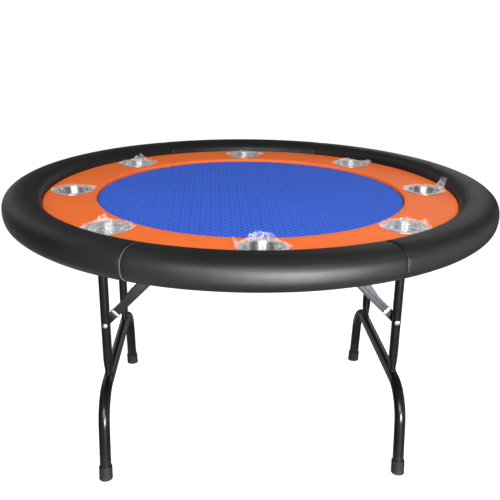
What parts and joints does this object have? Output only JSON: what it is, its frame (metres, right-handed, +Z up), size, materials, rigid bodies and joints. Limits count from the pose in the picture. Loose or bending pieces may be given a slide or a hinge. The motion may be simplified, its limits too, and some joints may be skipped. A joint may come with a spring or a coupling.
{
  "type": "folding poker table",
  "caption": "Round padded poker table on two folding steel leg sets, with a blue cloth field, an orange racetrack with cup holders and a black armrest rail.",
  "frame": {"origin": "on the floor, under the middle of the round top", "axes": "+Z up, +X to the right leg set, -Y to the front"},
  "size_m": [1.32, 1.32, 0.737],
  "materials": {
    "board_finish": "matte",
    "raw_board": "matte",
    "foam": "matte",
    "cloth": "matte",
    "racetrack_vinyl": "satin",
    "rail_leather": "satin",
    "steel": "polished",
    "leg_paint": "gloss",
    "brace_paint": "satin",
    "bracket_paint": "satin",
    "zinc": "satin",
    "rubber": "matte"
  },
  "bodies": {
    "table": {"base_board": "board_finish", "play_board": "raw_board", "play_foam": "foam", "speed_cloth": "cloth", "racetrack_board": "raw_board", "racetrack_cover": "racetrack_vinyl", "rail_core": "raw_board", "front_rail_pad": "rail_leather", "rear_rail_pad": "rail_leather", "left_rail_pad": "rail_leather", "right_rail_pad": "rail_leather", "cup_holder_1": "steel", "cup_holder_2": "steel", "cup_holder_3": "steel", "cup_holder_4": "steel", "cup_holder_5": "steel", "cup_holder_6": "steel", "cup_holder_7": "steel", "cup_holder_8": "steel", "left_front_pivot_bracket": "bracket_paint", "left_front_brace_bracket": "bracket_paint", "left_rear_pivot_bracket": "bracket_paint", "left_rear_brace_bracket": "bracket_paint", "right_front_pivot_bracket": "bracket_paint", "right_front_brace_bracket": "bracket_paint", "right_rear_pivot_bracket": "bracket_paint", "right_rear_brace_bracket": "bracket_paint"},
    "left_leg": {"left_lower_frame": "leg_paint", "left_pivot_rod": "zinc", "left_front_upper_tube": "leg_paint", "left_front_foot": "rubber", "left_front_brace_bolt": "zinc", "left_rear_upper_tube": "leg_paint", "left_rear_foot": "rubber", "left_rear_brace_bolt": "zinc"},
    "left_front_lower_brace": {"left_front_lower_link": "brace_paint"},
    "left_front_ring": {"left_front_lock_ring": "zinc"},
    "left_front_upper_brace": {"left_front_upper_link": "brace_paint", "left_front_elbow_rivet": "zinc"},
    "left_rear_lower_brace": {"left_rear_lower_link": "brace_paint"},
    "left_rear_ring": {"left_rear_lock_ring": "zinc"},
    "left_rear_upper_brace": {"left_rear_upper_link": "brace_paint", "left_rear_elbow_rivet": "zinc"},
    "right_leg": {"right_lower_frame": "leg_paint", "right_pivot_rod": "zinc", "right_front_upper_tube": "leg_paint", "right_front_foot": "rubber", "right_front_brace_bolt": "zinc", "right_rear_upper_tube": "leg_paint", "right_rear_foot": "rubber", "right_rear_brace_bolt": "zinc"},
    "right_front_lower_brace": {"right_front_lower_link": "brace_paint"},
    "right_front_ring": {"right_front_lock_ring": "zinc"},
    "right_front_upper_brace": {"right_front_upper_link": "brace_paint", "right_front_elbow_rivet": "zinc"},
    "right_rear_lower_brace": {"right_rear_lower_link": "brace_paint"},
    "right_rear_ring": {"right_rear_lock_ring": "zinc"},
    "right_rear_upper_brace": {"right_rear_upper_link": "brace_paint", "right_rear_elbow_rivet": "zinc"}
  },
  "joints": [
    {"name": "left_leg_fold", "type": "hinge", "parent": "table", "child": "left_leg", "pos_m": [-0.393, 0, 0.638], "axis": [0, -1, 0], "range_deg": [0, 90]},
    {"name": "left_front_lower_brace_turn", "type": "hinge", "parent": "left_leg", "child": "left_front_lower_brace", "pos_m": [-0.393, -0.1615, 0.384], "axis": [0, -1, 0], "range_deg": [0, 45.01]},
    {"name": "left_front_upper_brace_turn", "type": "hinge", "parent": "table", "child": "left_front_upper_brace", "pos_m": [-0.139, -0.156, 0.638], "axis": [0, 1, 0], "range_deg": [0, 45.01]},
    {"name": "left_front_ring_slide", "type": "slide", "parent": "left_front_lower_brace", "child": "left_front_ring", "axis": [0.7071, 0, 0.7071], "range_m": [0, 0.035]},
    {"name": "left_rear_lower_brace_turn", "type": "hinge", "parent": "left_leg", "child": "left_rear_lower_brace", "pos_m": [-0.393, 0.1615, 0.384], "axis": [0, -1, 0], "range_deg": [0, 45.01]},
    {"name": "left_rear_upper_brace_turn", "type": "hinge", "parent": "table", "child": "left_rear_upper_brace", "pos_m": [-0.139, 0.156, 0.638], "axis": [0, 1, 0], "range_deg": [0, 45.01]},
    {"name": "left_rear_ring_slide", "type": "slide", "parent": "left_rear_lower_brace", "child": "left_rear_ring", "axis": [0.7071, 0, 0.7071], "range_m": [0, 0.035]},
    {"name": "right_leg_fold", "type": "hinge", "parent": "table", "child": "right_leg", "pos_m": [0.393, 0, 0.638], "axis": [0, 1, 0], "range_deg": [0, 84.5]},
    {"name": "right_front_lower_brace_turn", "type": "hinge", "parent": "right_leg", "child": "right_front_lower_brace", "pos_m": [0.393, -0.1615, 0.384], "axis": [0, 1, 0], "range_deg": [0, 43.87]},
    {"name": "right_front_upper_brace_turn", "type": "hinge", "parent": "table", "child": "right_front_upper_brace", "pos_m": [0.139, -0.156, 0.638], "axis": [0, -1, 0], "range_deg": [0, 43.87]},
    {"name": "right_front_ring_slide", "type": "slide", "parent": "right_front_lower_brace", "child": "right_front_ring", "axis": [-0.7071, 0, 0.7071], "range_m": [0, 0.035]},
    {"name": "right_rear_lower_brace_turn", "type": "hinge", "parent": "right_leg", "child": "right_rear_lower_brace", "pos_m": [0.393, 0.1615, 0.384], "axis": [0, 1, 0], "range_deg": [0, 43.87]},
    {"name": "right_rear_upper_brace_turn", "type": "hinge", "parent": "table", "child": "right_rear_upper_brace", "pos_m": [0.139, 0.156, 0.638], "axis": [0, -1, 0], "range_deg": [0, 43.87]},
    {"name": "right_rear_ring_slide", "type": "slide", "parent": "right_rear_lower_brace", "child": "right_rear_ring", "axis": [-0.7071, 0, 0.7071], "range_m": [0, 0.035]}
  ],
  "couplings": [
    {"joint": "left_front_lower_brace_turn", "follows": "left_leg_fold", "ratio": 0.5},
    {"joint": "left_front_upper_brace_turn", "follows": "left_leg_fold", "ratio": 0.5},
    {"joint": "left_rear_lower_brace_turn", "follows": "left_leg_fold", "ratio": 0.5},
    {"joint": "left_rear_upper_brace_turn", "follows": "left_leg_fold", "ratio": 0.5},
    {"joint": "right_front_lower_brace_turn", "follows": "right_leg_fold", "ratio": 0.51905},
    {"joint": "right_front_upper_brace_turn", "follows": "right_leg_fold", "ratio": 0.51905},
    {"joint": "right_rear_lower_brace_turn", "follows": "right_leg_fold", "ratio": 0.51905},
    {"joint": "right_rear_upper_brace_turn", "follows": "right_leg_fold", "ratio": 0.51905}
  ]
}
